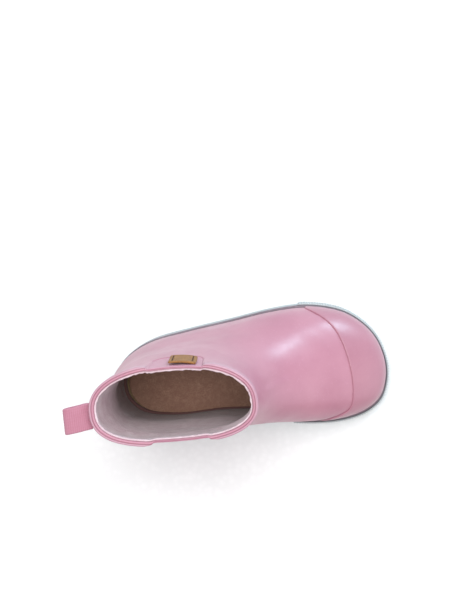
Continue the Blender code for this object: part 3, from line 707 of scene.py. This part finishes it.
def trim_band(name, profile, shares, finish, node, waves=None):
    """A strip round the sole. profile goes round its section as outset and height in millimetres."""
    profile = np.array(profile) * MM
    whole = shares[-1] - shares[0] > 0.99
    points = []
    for outset, z in profile:
        out = np.full(len(shares), outset)
        if waves is not None:
            out = waves(out, z)
        line = foot_line(shares, 0) + (foot_line(shares, 1.0) - foot_line(shares, 0)) * out[:, None]
        points.append(np.column_stack([line, np.full(len(line), z)]))
    points = np.array(points + points[:1])
    if whole:
        points[:, -1] = points[:, 0]
    piece = laid_sheet(name, points, finish, 35)
    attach(piece, "boot")
    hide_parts(node)
    return piece


def make_trim():
    round_sole = np.linspace(0, 1, 361)
    trim_band("foxing_wall", [
        (-1.7, 0.8), (-0.2, 0.8), (0.1, 1.0), (0.25, 1.5), (0.2, 5.2), (0.05, 5.5), (0.05, 5.9), (0.15, 6.2),
        (0.1, 10.6), (-0.05, 10.9), (-0.05, 11.3), (0.05, 11.6), (0, 14.2), (-0.15, 14.75), (-0.5, 15.0),
        (-1.7, 15.0), (-2.0, 14.8), (-2.0, 1.0),
    ], round_sole, GREY, "foxing_strip")
    # The ledge stripe wears the dark rubber of painted shade.
    trim_band("ledge_stripe", [
        (-1.8, 15.05), (-0.5, 15.05), (-0.25, 15.2), (-0.2, 15.6), (-0.25, 16.3), (-0.5, 16.7), (-0.9, 16.85),
        (-1.6, 16.85), (-2.1, 16.6), (-2.1, 15.2),
    ], round_sole, DARK, "edge_stripe")
    first, last = BUMPER_REACH
    pitch = RIB_PITCH / ROUND_SOLE
    shares = np.arange(first, last, pitch / 6)
    ends = np.minimum(shares - first, shares[-1] - shares) * ROUND_SOLE

    def ribs(out, z):
        tooth = np.clip(1.25 * np.cos((shares - first) / pitch * 2 * pi), -1, 1) * 0.5 + 0.5
        swell = smooth_step(ends, 0, 1.5 * MM)
        outer = np.clip((out - 0.3 * MM) / (0.7 * MM), 0, 1)
        return BUMPER_BACK + (out - BUMPER_BACK - RIB_DEPTH * outer * (1 - tooth)) * swell

    trim_band("ribbed_toe_bumper", [
        (0.05, 0.8), (1.0, 0.8), (1.4, 1.1), (1.5, 1.8), (1.4, 8), (1.3, 15.2), (1.2, 15.9), (1.0, 16.3),
        (0.6, 16.4), (0.05, 16.4),
    ], shares, GREY, "toe_bumper", ribs)


# ---- Label and its stitching ----

LABEL_MIDDLE, LABEL_HALF = PANEL_MIDDLE + 5 * MM, 7.75 * MM
LABEL_TOP, LABEL_LOW = RIM - 5 * MM, RIM - 22 * MM
LABEL_CORNER = 1.5 * MM
LABEL_EDGE = 0.45 * MM          # radius of its cut edge
SEAM_INSET = 2.2 * MM           # of each row of stitches from the label's end
STITCHES, STITCH_PITCH, FIRST_STITCH = 6, 2.08 * MM, 3.3 * MM
THREAD_RADIUS = 0.3 * MM


def label_place(beside, z, depth):
    """Points on the label's own curve: it lies on the panel at its top and stands off below."""
    x = LABEL_MIDDLE + beside
    share, row = find(x, z, 0.8)
    below = np.clip((LABEL_TOP - z) / (LABEL_TOP - LABEL_LOW), 0, 1)
    bow = 0.45 * MM * (1 - (np.clip(np.abs(beside) / LABEL_HALF, 0, 1)) ** 2)
    swing = 0.5 * MM * (1 - beside / LABEL_HALF)
    return wall(share, row, depth + 0.3 * MM - 0.7 * MM * below**1.2 - bow - swing)


def one_stitch(name, beside, count):
    """A stitch that rises out of the leather, runs along it, a little aslant, and dips in again."""
    middle = np.array(LABEL_LOW + FIRST_STITCH + count * STITCH_PITCH)
    t = np.linspace(-1, 1, 9)
    depth = 0.12 * MM - LEATHER_SHEET - 0.32 * MM * (1 - t**2) + 0.25 * MM * t**4
    line = label_place(beside + 0.12 * MM * t * (-1) ** count, middle + 0.85 * MM * t, depth)
    face = label_place(beside, middle, -LEATHER_SHEET)
    out = (label_place(beside, middle, -LEATHER_SHEET - 1 * MM) - face) / MM
    run = (line[-1] - line[0]) / np.linalg.norm(line[-1] - line[0])
    aside = np.cross(run, out)

    def around(n):
        size = THREAD_RADIUS * np.sqrt(max(0.12, 1 - abs(t[n]) ** 3))
        return [line[n] + (aside * cos(a) + out * sin(a)) * size for a in np.linspace(0, 2 * pi, 9)[:-1]]

    return swept(name, around, range(len(t)), THREAD)


def make_label():
    thick, corner = LEATHER_SHEET, LABEL_CORNER
    up = close_set(LABEL_TOP - LABEL_LOW, LABEL_EDGE, 5, 0.8 * MM)
    across = close_set(2 * LABEL_HALF, LABEL_EDGE, 5, 0.8 * MM) - LABEL_HALF
    height = LABEL_TOP - LABEL_LOW
    from_end = np.minimum(up, height - up)
    pull_in = np.where(from_end < corner, corner - np.sqrt(np.maximum(corner**2 - (corner - from_end) ** 2, 0)), 0)
    beside = across[None] * ((LABEL_HALF - pull_in) / LABEL_HALF)[:, None]
    z = np.broadcast_to((LABEL_LOW + up)[:, None], beside.shape)
    inset = np.minimum((LABEL_HALF - pull_in)[:, None] - np.abs(beside), from_end[:, None])
    swell = np.sqrt(1 - (1 - np.clip(inset / LABEL_EDGE, 0, 1)) ** 2)
    from_seam = np.abs(beside) - (LABEL_HALF - SEAM_INSET)
    sewn = np.exp(-(from_seam / (0.6 * MM)) ** 2) * (from_end[:, None] > 1.8 * MM)
    outer = label_place(beside, z, -thick / 2 - thick / 2 * swell + 0.22 * MM * sewn)
    inner = label_place(beside, z, -thick / 2 + thick / 2 * swell)
    piece = closed_skin("leather_side_label", outer, inner, LEATHER, round_boot=False)
    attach(piece, "boot")
    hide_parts("side_label")
    for end, sign in (("rear", -1), ("front", 1)):
        beside = np.array(sign * (LABEL_HALF - SEAM_INSET))
        made = [one_stitch(f"stitch_{end}_{k}", beside, k) for k in range(STITCHES)]
        bpy.ops.object.select_all(action="DESELECT")
        for stitch in made:
            stitch.select_set(True)
        bpy.context.view_layer.objects.active = made[0]
        bpy.ops.object.join()
        row_of_stitches = bpy.context.object
        row_of_stitches.name = row_of_stitches.data.name = f"label_thread_{end}"
        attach(row_of_stitches, "boot")
        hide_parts(f"label_stitch_{end}")


# ---- Pull loop ----

LOOP_HALF = 7.5 * MM
LOOP_MIDDLE = -3 * MM
HINGE_X, HINGE_Z = -88.3 * MM, RIM - 13 * MM
LOOP_REACH, LOOP_HALF_BELLY = 15.3 * MM, 3.3 * MM
TURN_REACH = 14.5 * MM          # the turn is complete half this far from the root
LOOP_COURSE = np.array([
    (-1.0, 0), (-0.9, 0.85), (-0.55, 1), (-0.22, 0.8), (0, 0), (-0.22, -0.8), (-0.55, -1), (-0.9, -0.85),
]) * np.array([LOOP_REACH, LOOP_HALF_BELLY])
LOOP_TURN = radians(5)          # it has been pulled towards the inner side
LOOP_RIBS, LOOP_RIB_RISE = 9, 0.09 * MM
TAIL_LENGTH, TAIL_SHOWN = 16 * MM, 1.5 * MM
PATCH_RIM = 3.5 * MM            # how far the patch reaches past the tail


def ribbed_profile(half, thick, ribs, rise, points):
    """Section of webbing, as places across and up, with round ribs on both faces."""
    across = np.linspace(-1, 1, points)
    edge = np.sqrt(np.clip(1 - np.abs(across) ** 14, 0, 1))
    face = (thick / 2 + rise * (np.cos(across * pi * ribs) - 1) / 2) * edge
    up = np.column_stack([across * half, face])
    down = np.column_stack([across[::-1] * half, -face[::-1]])
    return np.concatenate([up, down[1:-1]])


def make_pull_loop():
    """Webbing folded on itself, which swings where it comes out from under the patch."""
    count = 96
    steps = np.arange(count) / count * len(LOOP_COURSE)
    line = spline(LOOP_COURSE, steps, True)
    ahead = np.roll(line, -1, axis=0) - np.roll(line, 1, axis=0)
    ahead /= np.linalg.norm(ahead, axis=1)[:, None]
    out = np.stack([ahead[:, 1], -ahead[:, 0]], axis=1)
    profile = ribbed_profile(LOOP_HALF, WEBBING_PLY, LOOP_RIBS, LOOP_RIB_RISE, 55)
    points = np.empty((len(profile), count, 3))
    for k, (across, up) in enumerate(profile):
        reach = -line[:, 0] / TURN_REACH
        turn = LOOP_TURN * smooth_step(reach, 0.0, 0.5)
        x = line[:, 0] + out[:, 0] * up
        z = line[:, 1] + out[:, 1] * up + 0.5 * MM * reach * (across / LOOP_HALF)
        points[k, :, 0] = HINGE_X + x * np.cos(turn) + across * np.sin(turn) * 0.6
        points[k, :, 1] = LOOP_MIDDLE + across * np.cos(turn) + x * np.sin(turn)
        points[k, :, 2] = HINGE_Z + z
    points = np.concatenate([points, points[:1]])
    points = np.concatenate([points, points[:, :1]], axis=1)
    piece = laid_sheet("webbing_pull_loop", points, WEBBING)
    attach(piece, "loop")
    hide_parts("pull_loop")


def heel_grid(low, high, half, edge, step=1.0 * MM):
    """Shares, rows and distances from the edge for a rectangle at the back of the shaft."""
    up, across = close_set(high - low, edge, 5, step), close_set(2 * half, edge, 5, step) - half
    y, z = np.meshgrid(LOOP_MIDDLE + across, low + up)
    share, row = find(y, z, 0.002, axis=1)
    margin = np.minimum(np.minimum(up, (high - low) - up)[:, None], (half - np.abs(across))[None])
    return share, row, margin, np.broadcast_to(across, share.shape)


def make_heel_patch():
    """The tail of the webbing on the back of the shaft, and the rubber patch pressed over it."""
    tail_top = HINGE_Z - 1.6 * MM
    tail_low = tail_top - TAIL_LENGTH
    share, row, margin, across = heel_grid(tail_low, tail_top, LOOP_HALF, 0.4 * MM, 0.5 * MM)
    ribs = -1.5 * MM + 0.1 * MM * (1 - np.cos(across / LOOP_HALF * pi * 7))
    tail = bonded("webbing_tail", share, row, margin, ribs, 0.1 * MM, 0.4 * MM, WEBBING)
    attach(tail, "boot")
    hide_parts("loop_tail")
    low, high, half = tail_low - PATCH_RIM, tail_top - TAIL_SHOWN, LOOP_HALF + PATCH_RIM
    share, row, margin, across = heel_grid(low, high, half, 1.1 * MM, 0.8 * MM)
    over_tail = 1 - smooth_step(np.abs(across), LOOP_HALF - 0.2 * MM, LOOP_HALF + 1.4 * MM)
    over_tail *= smooth_step(skin(share, row)[..., 2], tail_low - 1.4 * MM, tail_low + 0.3 * MM)
    face = -0.9 * MM - 1.7 * MM * over_tail
    patch = bonded("heel_patch", share, row, margin, face, 0.12 * MM, 1.0 * MM, PINK)
    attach(patch, "boot")
    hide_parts("loop_patch")


make_upper()
make_side_panels()
make_toe_cap()
make_collar_strips()
make_lining()
make_insole()
make_trim()
make_label()
make_heel_patch()
make_pull_loop()


# ---- Floor, light and camera ----

def aimed(obj, place, target):
    obj.location = place
    obj.rotation_euler = (Vector(target) - Vector(place)).to_track_quat("-Z", "Y").to_euler()


bpy.ops.object.select_all(action="DESELECT")
bpy.ops.mesh.primitive_plane_add(size=6)
floor = bpy.context.object
floor.name = floor.data.name = "studio_floor"
floor.data.materials.append(FLOOR)

for lamp_name, lamp_size, power, tint, lamp_place in (
    ("side_softbox", 0.2, 5.2, "#BFE6F4", (0.67, 0.71, 0.2)),
    ("front_softbox", 0.7, 2.2, "#FFFFFF", (0.92, -0.35, 0.35)),
    ("overhead_softbox", 0.7, 12.6, "#FFFFFF", (-0.03, 0.22, 1.15)),
):
    lamp = bpy.data.lights.new(lamp_name, "AREA")
    lamp.size = lamp_size
    lamp.energy = power
    lamp.color = linear(tint)[:3]
    lamp_object = bpy.data.objects.new(lamp_name, lamp)
    bpy.context.scene.collection.objects.link(lamp_object)
    aimed(lamp_object, lamp_place, (0, 0, 0.05))

world = bpy.data.worlds.new("studio_room")
world.use_nodes = True
world.node_tree.nodes["Background"].inputs[0].default_value = linear("#F4F6F8")
world.node_tree.nodes["Background"].inputs[1].default_value = 0.5
bpy.context.scene.world = world
bpy.context.scene.view_settings.view_transform = "Standard"

camera = bpy.data.cameras.new("camera_above")
camera.sensor_width = 36
camera.lens = 67.86
camera_object = bpy.data.objects.new("camera_above", camera)
camera_object.location = (0.0324, 0.0659, 0.750)
camera_object.rotation_euler = (radians(-1.7725), radians(3.0353), radians(-8.2094))
bpy.context.scene.collection.objects.link(camera_object)
bpy.context.scene.camera = camera_object
